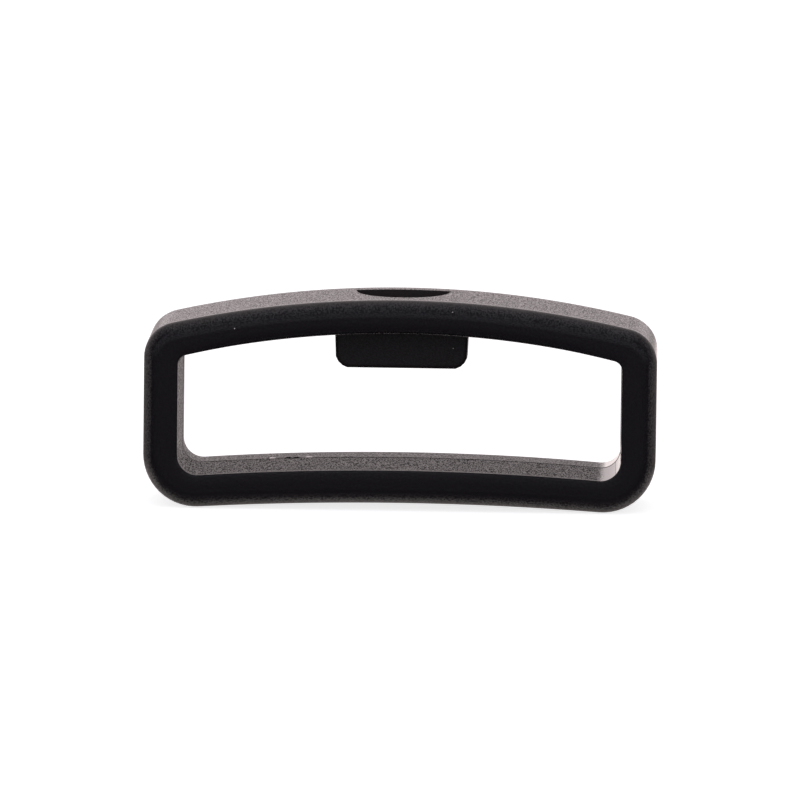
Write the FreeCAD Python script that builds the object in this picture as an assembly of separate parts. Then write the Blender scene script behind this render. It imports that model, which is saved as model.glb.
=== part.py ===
# Watch strap keeper: a soft silicone loop that slides along a watch strap and holds the strap's free end down.
# A firmer locking tooth is moulded into the roof of the loop and drops into one of the strap's holes.
# Millimetres. X runs across the strap, Y along the strap with the front face at -Y, and Z is up.
# The origin is under the middle of the loop, level with the two bottom corners that it stands on.

import FreeCAD, Part
import math
import os

# Strap passage, measured at the front and back faces
opening_width = 22.0
opening_height = 6.79
opening_roof_radius = 48.0
opening_floor_radius = 132.0
opening_roof_corner = 0.5
opening_floor_corner = 1.02
mouth_chamfer = 0.1
parting_draft = 0.06
parting_y = 1.1

# Walls round the passage and the curves of the outside
side_wall = 1.72
top_wall = 1.61
bottom_wall = 1.72
outer_top_radius = 51.0
outer_bottom_radius = 154.0
outer_top_corner = 1.75
outer_bottom_corner = 2.62

# Depth along the strap, and the bevel from each flat face to the outside, which is steep and then shallow
face_depth = 8.0
bevel_band = 0.62
bevel_setback = 0.95
knee_band = 0.38
knee_setback = 0.16

# Half-moon recess pressed into the top
recess_width = 4.7
recess_length = 3.8
recess_depth = 0.45
recess_back_margin = 1.0

# Locking tooth below the roof
tooth_root_width = 6.65
tooth_tip_width = 6.5
tooth_thickness = 2.4
tooth_drop = 2.0
tooth_corner_run = 0.5
tooth_corner_rise = 0.65
tooth_edge_chamfer = 0.15

# Anchor flange that the silicone of the roof flows over and under
flange_overhang = 0.5
flange_thickness = 0.4
flange_seat = 0.3

# How far a cutting solid reaches past what it cuts
cut_margin = 1.0

# Levels and outer sizes that follow from the values above
outer_half_width = opening_width / 2 + side_wall
bottom_reach = outer_bottom_radius + outer_bottom_corner
bottom_crown = bottom_reach - math.sqrt(bottom_reach ** 2 - (outer_half_width - outer_bottom_corner) ** 2)
floor_crown = bottom_crown + bottom_wall
roof_crown = floor_crown + opening_height
top_crown = roof_crown + top_wall
front_y = -face_depth / 2
back_y = face_depth / 2
rim_y = face_depth / 2 - bevel_setback
knee_y = face_depth / 2 - knee_setback


def outline(half_width, top, top_radius, top_corner, bottom, bottom_radius, bottom_corner, y):
    """Closed outline across the strap at one depth, with an arched top, an arched bottom and four round corners."""
    top_centre = top - top_radius
    bottom_centre = bottom - bottom_radius
    top_x = half_width - top_corner
    top_z = top_centre + math.sqrt((top_radius - top_corner) ** 2 - top_x ** 2)
    bottom_x = half_width - bottom_corner
    bottom_z = bottom_centre + math.sqrt((bottom_radius + bottom_corner) ** 2 - bottom_x ** 2)
    top_turn = math.atan2(top_z - top_centre, top_x)
    bottom_turn = math.atan2(bottom_z - bottom_centre, bottom_x)

    def on_circle(x, z, radius, angle, side):
        return FreeCAD.Vector(side * (x + radius * math.cos(angle)), y, z + radius * math.sin(angle))

    def corner_arc(x, z, radius, first, last, side):
        return Part.Arc(
            on_circle(x, z, radius, first, side),
            on_circle(x, z, radius, (first + last) / 2, side),
            on_circle(x, z, radius, last, side),
        ).toShape()

    down = bottom_turn - math.pi
    top_left = on_circle(0, top_centre, top_radius, top_turn, -1)
    top_right = on_circle(0, top_centre, top_radius, top_turn, 1)
    bottom_left = on_circle(0, bottom_centre, bottom_radius, bottom_turn, -1)
    bottom_right = on_circle(0, bottom_centre, bottom_radius, bottom_turn, 1)
    edges = [
        Part.Arc(top_left, FreeCAD.Vector(0, y, top), top_right).toShape(),
        corner_arc(top_x, top_z, top_corner, top_turn, 0, 1),
        Part.LineSegment(
            FreeCAD.Vector(half_width, y, top_z),
            FreeCAD.Vector(half_width, y, bottom_z),
        ).toShape(),
        corner_arc(bottom_x, bottom_z, bottom_corner, 0, down, 1),
        Part.Arc(bottom_right, FreeCAD.Vector(0, y, bottom), bottom_left).toShape(),
        corner_arc(bottom_x, bottom_z, bottom_corner, down, 0, -1),
        Part.LineSegment(
            FreeCAD.Vector(-half_width, y, bottom_z),
            FreeCAD.Vector(-half_width, y, top_z),
        ).toShape(),
        corner_arc(top_x, top_z, top_corner, 0, top_turn, -1),
    ]
    return Part.Wire(edges)


def outer_outline(inset, y):
    """The outside of the loop, drawn in by inset all round."""
    return outline(
        outer_half_width - inset,
        top_crown - inset,
        outer_top_radius - inset,
        outer_top_corner - inset,
        bottom_crown + inset,
        outer_bottom_radius + inset,
        outer_bottom_corner - inset,
        y,
    )


def opening_outline(growth, y):
    """The strap passage, widened by growth all round."""
    return outline(
        opening_width / 2 + growth,
        roof_crown + growth,
        opening_roof_radius + growth,
        opening_roof_corner + growth,
        floor_crown - growth,
        opening_floor_radius - growth,
        opening_floor_corner + growth,
        y,
    )


def through(sections):
    """Solid with straight sides from each outline to the next."""
    return Part.makeLoft(sections, True, True)


def make_outside():
    """Body of the loop before its passage is cut, with a bevel of two slopes round each face."""
    return through([
        outer_outline(bevel_band, front_y),
        outer_outline(knee_band, -knee_y),
        outer_outline(0, -rim_y),
        outer_outline(0, rim_y),
        outer_outline(knee_band, knee_y),
        outer_outline(bevel_band, back_y),
    ])


def make_passage():
    """Passage formed by two mould cores that taper to meet behind mid-depth, with a small chamfer at each mouth."""
    mouth_y = face_depth / 2 - mouth_chamfer
    cut_y = face_depth / 2 + cut_margin
    cut_growth = mouth_chamfer + cut_margin
    front_core = through([
        opening_outline(cut_growth, -cut_y),
        opening_outline(0, -mouth_y),
        opening_outline(-parting_draft, parting_y),
    ])
    back_core = through([
        opening_outline(-parting_draft, parting_y),
        opening_outline(0, mouth_y),
        opening_outline(cut_growth, cut_y),
    ])
    return front_core.fuse(back_core)


def make_recess():
    """Half-moon recess, straight towards the back and rounded towards the front, with a flat floor."""
    half_width = recess_width / 2
    left = FreeCAD.Vector(-half_width, 0, 0)
    right = FreeCAD.Vector(half_width, 0, 0)
    rounded = Part.Arc(left, FreeCAD.Vector(0, -half_width, 0), right).toShape()
    straight = Part.LineSegment(right, left).toShape()
    stretch = FreeCAD.Matrix()
    stretch.scale(1, recess_length / half_width, 1)
    plan = Part.Face(Part.Wire([rounded, straight])).transformGeometry(stretch)
    plan.translate(FreeCAD.Vector(0, rim_y - recess_back_margin, top_crown - recess_depth))
    return plan.extrude(FreeCAD.Vector(0, 0, recess_depth + cut_margin))


def make_tooth():
    """Tooth with a tapered body, sloping lower corners, chamfered front and back edges and a flange above it."""
    tip_z = roof_crown - tooth_drop
    corner_z = tip_z + tooth_corner_rise
    flange_z = roof_crown + flange_seat
    body_top = flange_z + flange_thickness / 2
    root_half = tooth_root_width / 2
    tip_half = tooth_tip_width / 2
    half_thickness = tooth_thickness / 2
    profile = [
        (-root_half, body_top),
        (-root_half, roof_crown),
        (-tip_half, corner_z),
        (-tip_half + tooth_corner_run, tip_z),
        (tip_half - tooth_corner_run, tip_z),
        (tip_half, corner_z),
        (root_half, roof_crown),
        (root_half, body_top),
        (-root_half, body_top),
    ]

    def section(inset, y):
        wire = Part.makePolygon([FreeCAD.Vector(x, y, z) for x, z in profile])
        if inset > 0:
            wire = wire.makeOffset2D(-inset, 2)
        return wire

    body = through([
        section(tooth_edge_chamfer, -half_thickness),
        section(0, -half_thickness + tooth_edge_chamfer),
        section(0, half_thickness - tooth_edge_chamfer),
        section(tooth_edge_chamfer, half_thickness),
    ])
    flange = Part.makeBox(
        tooth_root_width + 2 * flange_overhang,
        tooth_thickness + 2 * flange_overhang,
        flange_thickness,
        FreeCAD.Vector(-root_half - flange_overhang, -half_thickness - flange_overhang, flange_z),
    )
    return body.fuse(flange)


def save(name, shape):
    """Write one piece as its own file and print what it measures."""
    solids = shape.Solids
    if len(solids) != 1 or not solids[0].isValid():
        raise RuntimeError(name + " should be one valid solid")
    solids[0].exportStep(os.path.join("parts", name + ".step"))
    box = solids[0].BoundBox
    print(
        name,
        "volume %.2f mm3" % solids[0].Volume,
        "x %.3f..%.3f" % (box.XMin, box.XMax),
        "y %.3f..%.3f" % (box.YMin, box.YMax),
        "z %.3f..%.3f" % (box.ZMin, box.ZMax),
    )


os.makedirs("parts", exist_ok=True)
locking_tooth = make_tooth()
strap_loop = make_outside().cut(make_passage()).cut(make_recess()).cut(locking_tooth)
save("strap_loop", strap_loop)
save("locking_tooth", locking_tooth)
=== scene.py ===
import math
import bpy
from mathutils import Matrix, Vector


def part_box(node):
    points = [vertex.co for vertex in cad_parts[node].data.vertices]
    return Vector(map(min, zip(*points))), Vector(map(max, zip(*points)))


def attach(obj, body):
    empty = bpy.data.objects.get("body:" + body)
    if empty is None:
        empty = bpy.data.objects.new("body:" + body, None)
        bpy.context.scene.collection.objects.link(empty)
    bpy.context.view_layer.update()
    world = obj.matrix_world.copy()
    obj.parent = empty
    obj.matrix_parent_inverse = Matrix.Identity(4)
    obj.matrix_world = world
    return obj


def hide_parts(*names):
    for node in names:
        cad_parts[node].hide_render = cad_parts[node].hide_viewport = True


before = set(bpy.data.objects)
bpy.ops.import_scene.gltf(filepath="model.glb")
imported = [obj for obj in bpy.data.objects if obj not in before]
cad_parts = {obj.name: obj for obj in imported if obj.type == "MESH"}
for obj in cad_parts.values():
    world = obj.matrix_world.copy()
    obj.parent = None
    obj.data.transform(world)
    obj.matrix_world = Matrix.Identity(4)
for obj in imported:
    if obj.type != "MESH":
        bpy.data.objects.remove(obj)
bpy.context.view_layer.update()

# Silicone loop
# One soft moulding in black silicone, pressed between two outer mould halves, with a core from the front
# and a core from the back. The cores taper and meet behind the middle, where they leave a fine ridge
# right round the passage.
mm = 0.001
loop_low, loop_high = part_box("strap_loop")
half_width = loop_high.x
face_y = loop_high.y
top_crown = loop_high.z

side_wall = 1.72 * mm
top_wall = 1.61 * mm
bottom_wall = 1.72 * mm
outer_top_radius = 51.0 * mm
outer_bottom_radius = 154.0 * mm
outer_top_corner = 1.75 * mm
outer_bottom_corner = 2.62 * mm
roof_radius = 48.0 * mm
floor_radius = 132.0 * mm
roof_corner = 0.5 * mm
floor_corner = 1.02 * mm
bevel_band = 0.62 * mm
bevel_setback = 0.95 * mm
face_reach = 0.2 * mm
lip_reach = 0.6 * mm
lip_ramp = 2.0 * mm
lip_round = 0.45 * mm
mouth_round = 0.1 * mm
parting_draft = 0.06 * mm
parting_y = 1.1 * mm
parting_width = 0.04 * mm
parting_height = 0.016 * mm

opening_half = half_width - side_wall
corner_rise = outer_bottom_radius + outer_bottom_corner
bottom_crown = corner_rise - math.sqrt(corner_rise ** 2 - (half_width - outer_bottom_corner) ** 2)
floor_crown = bottom_crown + bottom_wall
roof_crown = top_crown - top_wall
rim_y = face_y - bevel_setback

# steps in each stretch of an outline, from the middle of the top to the middle of the bottom
TOP_STEPS = 44
CORNER_STEPS = 14
WALL_STEPS = 8
BOTTOM_STEPS = 44

# two points this close are the same place, and a point this far off an outline still counts as on it
touching = 0.0001 * mm
slack = 0.02 * mm


def deselect_all():
    bpy.ops.object.select_all(action="DESELECT")


def pick(*pieces):
    """Selects only these pieces and makes the last one active."""
    deselect_all()
    for piece in pieces:
        piece.select_set(True)
    bpy.context.view_layer.objects.active = pieces[-1]


def apply_modifier(piece, modifier):
    pick(piece)
    bpy.ops.object.modifier_apply(modifier=modifier.name)


def start_point(name, point):
    """A new mesh of a single vertex, open in edit mode with that vertex selected."""
    deselect_all()
    bpy.ops.mesh.primitive_plane_add(size=mm, location=(0, 0, 0))
    made = bpy.context.object
    made.name = name
    made.data.name = name
    bpy.ops.object.mode_set(mode="EDIT")
    bpy.ops.mesh.select_mode(type="VERT")
    bpy.ops.mesh.select_all(action="SELECT")
    bpy.ops.mesh.merge(type="CENTER")
    bpy.ops.transform.translate(value=point)
    return made


def draw_line(points):
    """Extrudes the selected vertex from point to point."""
    for before, after in zip(points, points[1:]):
        step = tuple(b - a for a, b in zip(before, after))
        bpy.ops.mesh.extrude_region_move(TRANSFORM_OT_translate={"value": step})


def select_edges(made, wanted):
    """Selects the edges whose end points and number of faces pass the test, and stays in edit mode."""
    bpy.ops.object.mode_set(mode="EDIT")
    bpy.ops.mesh.select_mode(type="EDGE")
    bpy.ops.mesh.select_all(action="DESELECT")
    bpy.ops.object.mode_set(mode="OBJECT")
    used = {}
    for face in made.data.polygons:
        for key in face.edge_keys:
            used[key] = used.get(key, 0) + 1
    for edge in made.data.edges:
        first, second = (made.data.vertices[i].co for i in edge.vertices)
        edge.select = wanted(first, second, used.get(edge.key, 0))
    bpy.ops.object.mode_set(mode="EDIT")


def sweep_half(half, crown, arch, corner, base, base_arch, base_corner):
    """Sweeps the section at x = 0 down the right half of an arched outline with two round corners."""
    arch_z = crown - arch
    base_z = base - base_arch
    corner_x = half - corner
    corner_z = arch_z + math.sqrt((arch - corner) ** 2 - corner_x ** 2)
    base_x = half - base_corner
    base_corner_z = base_z + math.sqrt((base_arch + base_corner) ** 2 - base_x ** 2)
    over = math.pi / 2 - math.atan2(corner_z - arch_z, corner_x)
    under = math.pi / 2 - math.atan2(base_corner_z - base_z, base_x)
    wall_step = (base_corner_z - corner_z) / WALL_STEPS

    def turn(steps, angle, x, z):
        bpy.ops.mesh.spin(steps=steps, angle=angle, center=(x, 0, z), axis=(0, -1, 0))

    bpy.ops.object.mode_set(mode="EDIT")
    bpy.ops.mesh.select_mode(type="VERT")
    bpy.ops.mesh.select_all(action="SELECT")
    turn(TOP_STEPS, over, 0, arch_z)
    turn(CORNER_STEPS, math.pi / 2 - over, corner_x, corner_z)
    for _ in range(WALL_STEPS):
        bpy.ops.mesh.extrude_region_move(TRANSFORM_OT_translate={"value": (0, 0, wall_step)})
    turn(CORNER_STEPS, math.pi / 2 + under, base_x, base_corner_z)
    turn(BOTTOM_STEPS, -under, 0, base_z)
    bpy.ops.object.mode_set(mode="OBJECT")


# outside skin: a flat face edge, the bevel, the broad rim, and the same again behind. The bevel leaves
# the rim at 15 degrees, steepens to about 28 degrees and rounds over into the face. Its points are
# shares of the bevel's setback and band.
bevel_shares = (
    (0, 0), (0.09, 0.035), (0.2, 0.095), (0.355, 0.205), (0.58, 0.39),
    (0.805, 0.578), (0.892, 0.695), (0.957, 0.838), (1, 1),
)
bevel_points = [(rim_y + bevel_setback * run, top_crown - bevel_band * drop) for run, drop in bevel_shares]
face_end_z = top_crown - bevel_band - face_reach
outside = start_point("strap_loop_silicone", (0, -face_y, face_end_z))
draw_line(
    [(0, -face_y, face_end_z)]
    + [(0, -y, z) for y, z in reversed(bevel_points)]
    + [(0, y, z) for y, z in bevel_points]
    + [(0, face_y, face_end_z)]
)
sweep_half(
    half_width, top_crown, outer_top_radius, outer_top_corner,
    bottom_crown, outer_bottom_radius, outer_bottom_corner,
)

# the rim keeps a crisp crease, while everything else that turns gently is shaded smooth
select_edges(outside, lambda first, second, faces: (
    abs(abs(first.y) - rim_y) < touching
    and abs(abs(second.y) - rim_y) < touching
    and first.y * second.y > 0
))
bpy.ops.mesh.mark_sharp()
bpy.ops.object.mode_set(mode="OBJECT")

# inside skin: two tapered halves that meet in the fine ridge where the mould cores met
parting_z = roof_crown - parting_draft
inside = start_point("passage_skin", (0, -face_y, roof_crown + lip_reach))
draw_line([
    (0, -face_y, roof_crown + lip_reach),
    (0, -face_y, roof_crown),
    (0, parting_y - parting_width / 2, parting_z),
    (0, parting_y, parting_z - parting_height),
    (0, parting_y + parting_width / 2, parting_z),
    (0, face_y, roof_crown),
    (0, face_y, roof_crown + lip_reach),
])
sweep_half(
    opening_half, roof_crown, roof_radius, roof_corner,
    floor_crown, floor_radius, floor_corner,
)

# the two skins are joined by the flat front and back faces, then mirrored into the whole loop
pick(inside, outside)
bpy.ops.object.join()
loop = outside
for side in (-1, 1):
    select_edges(loop, lambda first, second, faces: (
        faces == 1
        and max(abs(first.y - side * face_y), abs(second.y - side * face_y)) < touching
        and max(abs(first.x), abs(second.x)) > touching
    ))
    bpy.ops.mesh.bridge_edge_loops()
    bpy.ops.object.mode_set(mode="OBJECT")
mirror = loop.modifiers.new("other half", "MIRROR")
mirror.use_axis = (True, False, False)
mirror.use_clip = True
mirror.merge_threshold = 0.005 * mm
apply_modifier(loop, mirror)
bpy.ops.object.mode_set(mode="EDIT")
bpy.ops.mesh.select_mode(type="VERT")
bpy.ops.mesh.select_all(action="SELECT")
bpy.ops.mesh.remove_doubles(threshold=0.002 * mm)
bpy.ops.mesh.normals_make_consistent(inside=False)
bpy.ops.object.mode_set(mode="OBJECT")


def arc_height(x, crown, radius):
    """Height of an arch of this radius at x, with its top at crown."""
    return crown - radius + math.sqrt(radius ** 2 - x ** 2)


def in_passage(co):
    """Whether a point lies on or inside the outline of the passage."""
    above_floor = co.z > arc_height(co.x, floor_crown, floor_radius) - slack
    below_roof = co.z < arc_height(co.x, roof_crown, roof_radius) + slack
    return abs(co.x) < opening_half + slack and above_floor and below_roof


def on_mouth(co):
    """Whether a point lies on the front or back edge of the passage."""
    return in_passage(co) and abs(abs(co.y) - face_y) < touching


# the mouths: a small radius all round, which grows into a soft lip along the roof
lip_end = opening_half - roof_corner
weights = loop.data.attributes.new("bevel_weight_edge", "FLOAT", "EDGE")
for edge in loop.data.edges:
    first, second = (loop.data.vertices[i].co for i in edge.vertices)
    if not (on_mouth(first) and on_mouth(second)):
        continue
    middle = (first + second) / 2
    share = 0.0
    if middle.z > top_crown / 2:
        share = min(max((lip_end - abs(middle.x)) / lip_ramp, 0.0), 1.0)
        share = share * share * (3 - 2 * share)
    weights.data[edge.index].value = (mouth_round + (lip_round - mouth_round) * share) / lip_round
soften = loop.modifiers.new("mouths", "BEVEL")
soften.limit_method = "WEIGHT"
soften.width = lip_round
soften.segments = 5
soften.use_clamp_overlap = False
apply_modifier(loop, soften)

# half-moon recess in the top: a round cutter, trimmed straight at the back and stretched to the front
recess_width = 4.7 * mm
recess_length = 3.8 * mm
recess_depth = 0.45 * mm
recess_back_margin = 1.0 * mm
recess_back = rim_y - recess_back_margin
deselect_all()
bpy.ops.mesh.primitive_cylinder_add(
    vertices=72, radius=recess_width / 2, depth=2 * recess_depth, location=(0, recess_back, top_crown)
)
cutter = bpy.context.object
cutter.name = "recess_cutter"
bpy.ops.object.transform_apply(location=True, rotation=True, scale=True)
bpy.ops.object.mode_set(mode="EDIT")
bpy.ops.mesh.select_all(action="SELECT")
bpy.ops.mesh.bisect(
    plane_co=(0, recess_back, top_crown), plane_no=(0, 1, 0), use_fill=True, clear_outer=True
)
bpy.ops.mesh.select_all(action="SELECT")
bpy.ops.transform.resize(
    value=(1, recess_length / (recess_width / 2), 1), center_override=(0, recess_back, top_crown)
)
bpy.ops.object.mode_set(mode="OBJECT")
cut = loop.modifiers.new("recess", "BOOLEAN")
cut.operation = "DIFFERENCE"
cut.solver = "EXACT"
cut.object = cutter
apply_modifier(loop, cut)
bpy.data.objects.remove(cutter)

# torn flash: a thin ragged film of silicone, left lying just over the floor where the mould cores met
flash_left = -6.6 * mm
flash_right = -4.45 * mm
flash_lift = 0.05 * mm
flash_wander = 0.08 * mm
flash_turn = 1.9
flash_length = 0.5 * mm
flash_rise = 0.005 * mm
flash_thickness = 0.02 * mm
flash_rag = 0.012 * mm
FLASH_STEPS = 16
flash_points = []
for step in range(FLASH_STEPS + 1):
    x = flash_left + (flash_right - flash_left) * step / FLASH_STEPS
    y = parting_y + flash_wander * math.sin(step * flash_turn)
    flash_points.append((x, y, arc_height(x, floor_crown, floor_radius) + flash_lift))
flash = start_point("parting_flash", flash_points[0])
draw_line(flash_points)
bpy.ops.mesh.select_all(action="SELECT")
bpy.ops.mesh.extrude_region_move(TRANSFORM_OT_translate={"value": (0, flash_length, flash_rise)})
bpy.ops.transform.vertex_random(offset=flash_rag, seed=4)
bpy.ops.object.mode_set(mode="OBJECT")
thicken = flash.modifiers.new("thickness", "SOLIDIFY")
thicken.thickness = flash_thickness
thicken.offset = 0
apply_modifier(flash, thicken)


def linear(hex_colour):
    """An sRGB hex colour as linear red, green, blue and alpha."""
    values = [int(hex_colour[i:i + 2], 16) / 255 for i in (1, 3, 5)]
    return [v / 12.92 if v <= 0.04045 else ((v + 0.055) / 1.055) ** 2.4 for v in values] + [1.0]


def add_node(tree, kind, settings=None, links=None):
    """Adds a node, sets its properties or unlinked sockets, and links its inputs to other outputs."""
    node = tree.nodes.new(kind)
    for key, value in (settings or {}).items():
        if isinstance(key, str) and hasattr(node, key):
            setattr(node, key, value)
        else:
            node.inputs[key].default_value = value
    for key, source in (links or {}).items():
        tree.links.new(source, node.inputs[key])
    return node


def new_material(name):
    made = bpy.data.materials.new(name)
    made.use_nodes = True
    made.node_tree.nodes.clear()
    return made, made.node_tree


# Black silicone, moulded against spark-eroded steel, so its skin has a fine even grain of small pits.
# It looks matte and almost black face on. At a flat angle the skin between the pits mirrors the pale
# backdrop, and the part looks grey. The grain is drawn three times as long along the strap as across
# it, because at the photo's flat angle it would be too fine to show.
SILICONE_IOR = 1.41
grain_size = 0.075 * mm
grain_draw = 0.3
grain_height = 0.006 * mm
dust_spacing = 0.9 * mm
dust_radius = 0.055 * mm
rub_reach = 0.6 * mm
rub_share = 0.95
polish_reach = 0.5 * mm
polish_z = floor_crown + floor_corner
polished_roughness = 0.03


def black_silicone(name, colour, roughness, flat_roughness, pits, flat_fade, edge_y, polish_x):
    """Black silicone whose grain fades at flat angles, by the edge at edge_y and beyond polish_x."""
    made, tree = new_material(name)
    place = add_node(tree, "ShaderNodeTexCoord")
    axes = add_node(tree, "ShaderNodeSeparateXYZ", None, {"Vector": place.outputs["Object"]})
    drawn = add_node(tree, "ShaderNodeVectorMath", {"operation": "MULTIPLY", 1: (1.0, grain_draw, 1.0)}, {
        0: place.outputs["Object"],
    })
    grain = add_node(tree, "ShaderNodeTexNoise", {"Scale": 1 / grain_size, "Detail": 2.0, "Roughness": 0.6}, {
        "Vector": drawn.outputs["Vector"],
    })
    view = add_node(tree, "ShaderNodeLayerWeight", {"Blend": 0.5})
    flatness = add_node(tree, "ShaderNodeMapRange", {"From Min": 0.87, "From Max": 0.97}, {
        "Value": view.outputs["Facing"],
    })

    # where the mould was polished bright, and where handling has rubbed the grain off an edge
    far_right = add_node(tree, "ShaderNodeMapRange", {
        "interpolation_type": "SMOOTHSTEP", "From Min": polish_x, "From Max": polish_x + polish_reach,
    }, {"Value": axes.outputs["X"]})
    low = add_node(tree, "ShaderNodeMapRange", {
        "interpolation_type": "SMOOTHSTEP", "From Min": polish_z, "From Max": polish_z + polish_reach,
        "To Min": 1.0, "To Max": 0.0,
    }, {"Value": axes.outputs["Z"]})
    polish = add_node(tree, "ShaderNodeMath", {"operation": "MULTIPLY"}, {
        0: far_right.outputs["Result"], 1: low.outputs["Result"],
    })
    along = add_node(tree, "ShaderNodeMath", {"operation": "ABSOLUTE"}, {0: axes.outputs["Y"]})
    past_edge = add_node(tree, "ShaderNodeMath", {"operation": "SUBTRACT", 1: edge_y}, {
        0: along.outputs["Value"],
    })
    off_edge = add_node(tree, "ShaderNodeMath", {"operation": "ABSOLUTE"}, {0: past_edge.outputs["Value"]})
    rubbed = add_node(tree, "ShaderNodeMapRange", {
        "From Min": 0.0, "From Max": rub_reach, "To Min": rub_share, "To Max": 0.0,
    }, {"Value": off_edge.outputs["Value"]})
    smoothed = add_node(tree, "ShaderNodeMath", {"operation": "MAXIMUM"}, {
        0: polish.outputs["Value"], 1: rubbed.outputs["Result"],
    })

    # the skin between the pits
    relief = add_node(tree, "ShaderNodeMapRange", {"To Min": 1.0, "To Max": 0.0}, {
        "Value": smoothed.outputs["Value"],
    })
    bump = add_node(tree, "ShaderNodeBump", {"Distance": grain_height}, {
        "Height": grain.outputs["Fac"], "Strength": relief.outputs["Result"],
    })
    rough = add_node(tree, "ShaderNodeMapRange", {"To Min": roughness, "To Max": flat_roughness}, {
        "Value": flatness.outputs["Result"],
    })
    polished = add_node(tree, "ShaderNodeMapRange", {"To Max": polished_roughness}, {
        "Value": polish.outputs["Value"], "To Min": rough.outputs["Result"],
    })
    skin = add_node(tree, "ShaderNodeBsdfPrincipled", {"Base Color": linear(colour), "IOR": SILICONE_IOR}, {
        "Normal": bump.outputs["Normal"], "Roughness": polished.outputs["Result"],
    })

    # the pits, which take in the light
    pit = add_node(tree, "ShaderNodeBsdfDiffuse", {"Color": linear(colour)})
    hidden = add_node(tree, "ShaderNodeMath", {"operation": "MULTIPLY", 1: flat_fade}, {
        0: flatness.outputs["Result"],
    })
    lost = add_node(tree, "ShaderNodeMath", {"operation": "MAXIMUM"}, {
        0: smoothed.outputs["Value"], 1: hidden.outputs["Value"],
    })
    deepest = add_node(tree, "ShaderNodeMapRange", {"To Min": pits, "To Max": 0.0}, {
        "Value": lost.outputs["Value"],
    })
    pit_share = add_node(tree, "ShaderNodeMapRange", {
        "interpolation_type": "SMOOTHSTEP", "From Min": 0.4, "From Max": 0.6, "To Max": 0.0,
    }, {"Value": grain.outputs["Fac"], "To Min": deepest.outputs["Result"]})
    pitted = add_node(tree, "ShaderNodeMixShader", None, {
        0: pit_share.outputs["Result"], 1: skin.outputs["BSDF"], 2: pit.outputs["BSDF"],
    })

    # a few pale specks of dust, which silicone always draws
    speck = add_node(tree, "ShaderNodeTexVoronoi", {"Scale": 1 / dust_spacing}, {
        "Vector": place.outputs["Object"],
    })
    chance = add_node(tree, "ShaderNodeSeparateColor", None, {"Color": speck.outputs["Color"]})
    speck_size = add_node(tree, "ShaderNodeMapRange", {
        "From Min": 0.5, "From Max": 1.0, "To Min": 0.0, "To Max": dust_radius / dust_spacing,
    }, {"Value": chance.outputs["Red"]})
    is_dust = add_node(tree, "ShaderNodeMath", {"operation": "LESS_THAN"}, {
        0: speck.outputs["Distance"], 1: speck_size.outputs["Result"],
    })
    dust = add_node(tree, "ShaderNodeBsdfDiffuse", {"Color": linear("#c8c4c4")})
    dusty = add_node(tree, "ShaderNodeMixShader", None, {
        0: is_dust.outputs["Value"], 1: pitted.outputs["Shader"], 2: dust.outputs["BSDF"],
    })
    add_node(tree, "ShaderNodeOutputMaterial", None, {"Surface": dusty.outputs["Shader"]})
    return made


# the outer mould and the two cores each left their own finish, and the recess its own finish plus painted
# light: a paler colour that lifts the shade inside it. The cores were polished at the lower right corner of
# the passage, so it shines.
polish_start = opening_half - floor_corner - 0.2 * mm
nowhere = 2 * half_width
outside_skin = black_silicone(
    "black_silicone_spark_eroded", "#1a181c", roughness=0.27, flat_roughness=0.05,
    pits=0.76, flat_fade=0.8, edge_y=rim_y, polish_x=nowhere,
)
front_core_skin = black_silicone(
    "black_silicone_front_core", "#171516", roughness=0.38, flat_roughness=0.38,
    pits=0.84, flat_fade=0.2, edge_y=face_y, polish_x=polish_start,
)
back_core_skin = black_silicone(
    "black_silicone_back_core", "#191516", roughness=0.36, flat_roughness=0.32,
    pits=0.68, flat_fade=0.2, edge_y=face_y, polish_x=polish_start,
)
# the recess: its own finish, and a paler colour that is painted light, lifting the shade in the hollow
recess_painted_light_skin = black_silicone(
    "black_silicone_recess_painted_light", "#332d2e", roughness=0.3, flat_roughness=0.2,
    pits=0.2, flat_fade=0.5, edge_y=rim_y, polish_x=nowhere,
)
OUTSIDE, FRONT_CORE, BACK_CORE, RECESS = range(4)
loop.data.materials.clear()
for skin in (outside_skin, front_core_skin, back_core_skin, recess_painted_light_skin):
    loop.data.materials.append(skin)
for face in loop.data.polygons:
    spot = face.center
    face.material_index = OUTSIDE
    if in_passage(spot) and abs(spot.y) < face_y - slack:
        face.material_index = BACK_CORE if spot.y > parting_y else FRONT_CORE
    in_width = abs(spot.x) < recess_width / 2 + slack
    in_length = recess_back - recess_length - slack < spot.y < recess_back + slack
    below_top = spot.z < arc_height(spot.x, top_crown, outer_top_radius) - slack
    if in_width and in_length and below_top and spot.z > top_crown - recess_depth - slack:
        face.material_index = RECESS

# silicone film with painted light: pale glossy ends paint a highlight, dull black spots paint shade
painted_highlight_end = 0.11
painted_shade_spots = (0.44, 0.63)
spot_half = 0.035
blur = 0.05
flash_skin, tree = new_material("silicone_flash_painted_light")
place = add_node(tree, "ShaderNodeTexCoord")
axes = add_node(tree, "ShaderNodeSeparateXYZ", None, {"Vector": place.outputs["Object"]})
share = add_node(tree, "ShaderNodeMapRange", {"From Min": flash_left, "From Max": flash_right}, {
    "Value": axes.outputs["X"],
})
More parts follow.
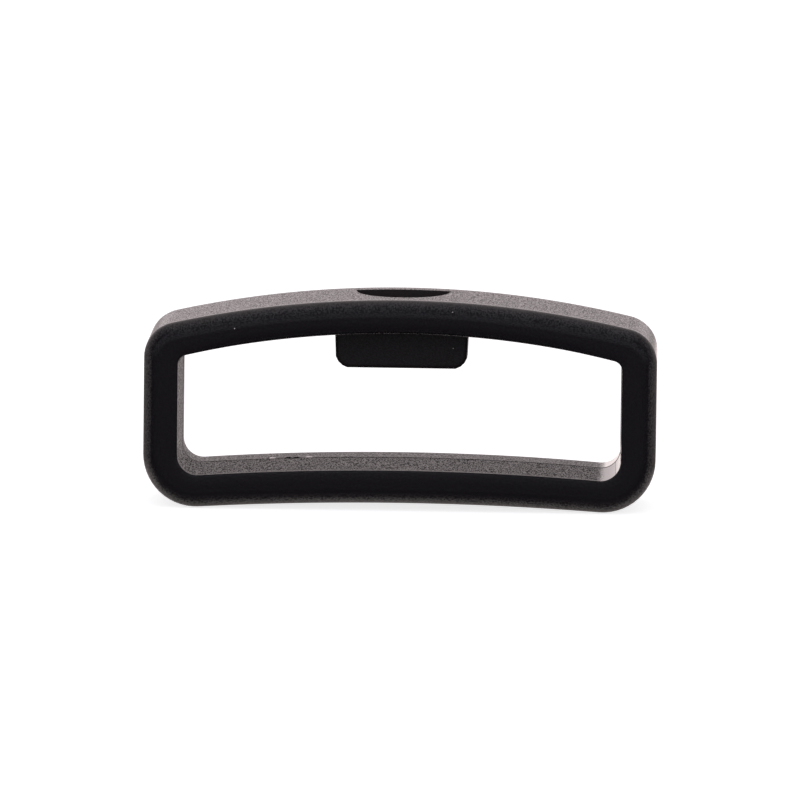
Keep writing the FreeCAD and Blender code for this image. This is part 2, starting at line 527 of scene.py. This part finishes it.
# painted light along the film: pale where it paints a highlight, black where it paints shade
flash_painted_light_ramp = add_node(tree, "ShaderNodeValToRGB", None, {"Fac": share.outputs["Result"]})
stops = flash_painted_light_ramp.color_ramp.elements
stops[0].color = (1, 1, 1, 1)
stops[1].color = (1, 1, 1, 1)
painted_light_stops = [(painted_highlight_end, 0.9), (painted_highlight_end + blur, 0.3), (1 - painted_highlight_end - blur, 0.5), (1 - painted_highlight_end, 0.9)]
for spot in painted_shade_spots:
    painted_light_stops += [(spot - spot_half - blur, 0.25), (spot - spot_half, 0.0)]
    painted_light_stops += [(spot + spot_half, 0.0), (spot + spot_half + blur, 0.25)]
for position, value in painted_light_stops:
    stops.new(position).color = (value, value, value, 1)
# dull black silicone placed as painted shade; the pale glossy part below paints the highlight
dark_film_shade = add_node(tree, "ShaderNodeBsdfDiffuse", {"Color": linear("#181617")})
pale_film_highlight = add_node(tree, "ShaderNodeBsdfPrincipled", {
    "Base Color": linear("#d2cac8"), "Roughness": 0.05, "IOR": SILICONE_IOR,
})
film = add_node(tree, "ShaderNodeMixShader", None, {
    0: flash_painted_light_ramp.outputs["Color"], 1: dark_film_shade.outputs["BSDF"], 2: pale_film_highlight.outputs["BSDF"],
})
add_node(tree, "ShaderNodeOutputMaterial", None, {"Surface": film.outputs["Shader"]})
flash.data.materials.clear()
flash.data.materials.append(flash_skin)
pick(flash, loop)
bpy.ops.object.join()


def smooth(piece):
    """Shades the gentle turns smooth and keeps the broad faces flat."""
    pick(piece)
    bpy.ops.object.shade_smooth_by_angle(angle=math.radians(45))
    even = piece.modifiers.new("flat faces stay flat", "WEIGHTED_NORMAL")
    even.keep_sharp = True
    apply_modifier(piece, even)


smooth(loop)
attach(loop, "root")
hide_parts("strap_loop")


# Locking tooth
# A firmer block of the same silicone, held in the roof by a flange that the loop is moulded round. Only
# the tapered block below the roof shows. Its lower corners slope so that it finds the hole in the strap.
tooth_low, tooth_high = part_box("locking_tooth")
tooth_root_width = 6.65 * mm
tooth_tip_width = 6.5 * mm
tooth_thickness = 2.4 * mm
tooth_corner = 0.55 * mm
tooth_edge = 0.2 * mm
flange_thickness = 0.4 * mm
flange_overhang = 0.5 * mm
flange_bottom = tooth_high.z - flange_thickness
tooth_slack = 0.01 * mm

deselect_all()
bpy.ops.mesh.primitive_cube_add(size=1, location=(0, 0, flange_bottom + flange_thickness / 2))
tooth = bpy.context.object
tooth.name = "locking_tooth_silicone"
tooth.data.name = "locking_tooth_silicone"
tooth.scale = (
    tooth_root_width + 2 * flange_overhang,
    tooth_thickness + 2 * flange_overhang,
    flange_thickness,
)
bpy.ops.object.transform_apply(location=True, rotation=True, scale=True)
for vertex in tooth.data.vertices:
    vertex.select = vertex.co.z < flange_bottom + tooth_slack
for edge in tooth.data.edges:
    edge.select = all(tooth.data.vertices[i].select for i in edge.vertices)
for face in tooth.data.polygons:
    face.select = all(tooth.data.vertices[i].select for i in face.vertices)
bpy.ops.object.mode_set(mode="EDIT")
bpy.ops.mesh.select_mode(type="FACE")
bpy.ops.mesh.inset(thickness=flange_overhang, depth=0)
bpy.ops.mesh.extrude_region_move(TRANSFORM_OT_translate={"value": (0, 0, roof_crown - flange_bottom)})
bpy.ops.mesh.extrude_region_move(TRANSFORM_OT_translate={"value": (0, 0, tooth_low.z - roof_crown)})
bpy.ops.transform.resize(value=(tooth_tip_width / tooth_root_width, 1, 1))
select_edges(tooth, lambda first, second, faces: (
    max(first.z, second.z) < tooth_low.z + tooth_slack and abs(first.x - second.x) < touching
))
bpy.ops.mesh.bevel(offset=tooth_corner, segments=3, profile=0.4, affect="EDGES")
bpy.ops.object.mode_set(mode="OBJECT")
soften = tooth.modifiers.new("soft edges", "BEVEL")
soften.width = tooth_edge
soften.segments = 4
soften.limit_method = "ANGLE"
soften.angle_limit = math.radians(50)
apply_modifier(tooth, soften)

# firm black silicone, moulded in steel with shallower pits, which looks duller and a little paler
tooth_skin = black_silicone(
    "firm_black_silicone", "#201d1f", roughness=0.4, flat_roughness=0.3,
    pits=0.5, flat_fade=0.5, edge_y=tooth_high.y, polish_x=nowhere,
)
tooth.data.materials.clear()
tooth.data.materials.append(tooth_skin)
smooth(tooth)
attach(tooth, "root")
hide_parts("locking_tooth")


# Studio
# A white table under a soft box, in front of a white backdrop. The room behind the camera is left dim,
# so the front of the black part stays dark and only its flat-angle surfaces mirror the backdrop.
# the table's painted reflection: where its glow rises from front to back, and where painted shade dims it
# aside
table_side = 6.0
table_painted_glow_front = -6 * mm
table_painted_glow_back = 1 * mm
table_painted_shade_from = 13 * mm
table_painted_shade_to = 22 * mm
deselect_all()
bpy.ops.mesh.primitive_plane_add(size=table_side, location=(0, 0, loop_low.z))
table = bpy.context.object
table.name = "studio_table"

# white laminate; glossy rays see a painted reflection on it, bright towards the backdrop, dim in front and
# aside
table_paint, tree = new_material("white_table_with_painted_reflection")
ray = add_node(tree, "ShaderNodeLightPath")
place = add_node(tree, "ShaderNodeTexCoord")
axes = add_node(tree, "ShaderNodeSeparateXYZ", None, {"Vector": place.outputs["Object"]})
# painted reflection: a glow that only glossy rays see, brighter behind the part than in front of it
painted_back_glow = add_node(tree, "ShaderNodeMapRange", {
    "From Min": table_painted_glow_front, "From Max": table_painted_glow_back, "To Min": 0.1, "To Max": 1.15,
}, {"Value": axes.outputs["Y"]})
aside = add_node(tree, "ShaderNodeMath", {"operation": "ABSOLUTE"}, {0: axes.outputs["X"]})
# painted shade on that glow to either side of the part
painted_side_shade = add_node(tree, "ShaderNodeMapRange", {
    "interpolation_type": "SMOOTHSTEP", "From Min": table_painted_shade_from, "From Max": table_painted_shade_to,
    "To Min": 1.0, "To Max": 0.4,
}, {"Value": aside.outputs["Value"]})
painted_glow = add_node(tree, "ShaderNodeMath", {"operation": "MULTIPLY"}, {
    0: painted_back_glow.outputs["Result"], 1: painted_side_shade.outputs["Result"],
})
paint = add_node(tree, "ShaderNodeBsdfDiffuse", {"Color": linear("#f0f0f0")})
white_glow = add_node(tree, "ShaderNodeEmission", {"Strength": 0.78})
# the painted glow as an emission, seen by glossy rays in place of the lit table
painted_reflection = add_node(tree, "ShaderNodeEmission", {"Color": linear("#fff3f2")}, {
    "Strength": painted_glow.outputs["Value"],
})
lit = add_node(tree, "ShaderNodeAddShader", None, {
    0: paint.outputs["BSDF"], 1: white_glow.outputs["Emission"],
})
seen = add_node(tree, "ShaderNodeMixShader", None, {
    0: ray.outputs["Is Camera Ray"], 1: paint.outputs["BSDF"], 2: lit.outputs["Shader"],
})
all_rays = add_node(tree, "ShaderNodeMixShader", None, {
    0: ray.outputs["Is Glossy Ray"], 1: seen.outputs["Shader"], 2: painted_reflection.outputs["Emission"],
})
add_node(tree, "ShaderNodeOutputMaterial", None, {"Surface": all_rays.outputs["Shader"]})
table.data.materials.append(table_paint)

# the room, from behind the camera at 0 to the backdrop at 1; the camera itself sees plain white
room_tones = ((0.3, "#b4b2ba"), (0.5, "#706e74"), (0.66, "#6c6a6e"))
world = bpy.data.worlds.new("studio")
bpy.context.scene.world = world
world.use_nodes = True
tree = world.node_tree
tree.nodes.clear()
ray = add_node(tree, "ShaderNodeLightPath")
place = add_node(tree, "ShaderNodeTexCoord")
axes = add_node(tree, "ShaderNodeSeparateXYZ", None, {"Vector": place.outputs["Generated"]})
along = add_node(tree, "ShaderNodeMapRange", {"From Min": -1.0, "From Max": 1.0}, {
    "Value": axes.outputs["Y"],
})
room = add_node(tree, "ShaderNodeValToRGB", None, {"Fac": along.outputs["Result"]})
ramp = room.color_ramp
ramp.interpolation = "EASE"
ramp.elements[0].position = 0.0
ramp.elements[0].color = linear("#d0ced6")
ramp.elements[1].position = 0.95
ramp.elements[1].color = linear("#fff2f3")
for position, colour in room_tones:
    ramp.elements.new(position).color = linear(colour)
white = add_node(tree, "ShaderNodeMix", {"data_type": "RGBA", 7: linear("#ffffff")}, {
    0: ray.outputs["Is Camera Ray"], 6: room.outputs["Color"],
})
sky = add_node(tree, "ShaderNodeBackground", {"Strength": 1.0}, {"Color": white.outputs[2]})
add_node(tree, "ShaderNodeOutputWorld", None, {"Surface": sky.outputs["Background"]})

box_data = bpy.data.lights.new("overhead_soft_box", "AREA")
box_data.size = 1.2
box_data.energy = 1.5
soft_box = bpy.data.objects.new("overhead_soft_box", box_data)
bpy.context.scene.collection.objects.link(soft_box)
soft_box.location = (0, 0.1, 1.0)


# Camera
# Stands 0.6 m off with a long lens and looks a little down on the part, from slightly to its right. It
# leans a little, as a camera held in the hand does, so the part hangs down to the right in the picture.
look_down = math.radians(6.569)
look_left = math.radians(1.418)
lean = math.radians(0.679)
camera_distance = 600 * mm
aim_point = Vector((-0.0725 * mm, 0, 5.123 * mm))

forward = Vector((
    -math.sin(look_left) * math.cos(look_down),
    math.cos(look_left) * math.cos(look_down),
    -math.sin(look_down),
))
level_right = Vector((math.cos(look_left), math.sin(look_left), 0))
level_up = level_right.cross(forward)
camera_right = level_right * math.cos(lean) + level_up * math.sin(lean)
camera_up = level_up * math.cos(lean) - level_right * math.sin(lean)

camera_data = bpy.data.cameras.new("product_camera")
camera_data.sensor_width = 36.0
camera_data.lens = 541.7
camera_data.clip_start = 0.05
camera_data.clip_end = 50
camera = bpy.data.objects.new("product_camera", camera_data)
bpy.context.scene.collection.objects.link(camera)
camera.matrix_world = Matrix((camera_right, camera_up, -forward)).transposed().to_4x4()
camera.location = aim_point - forward * camera_distance
bpy.context.scene.camera = camera
bpy.context.scene.view_settings.view_transform = "Standard"
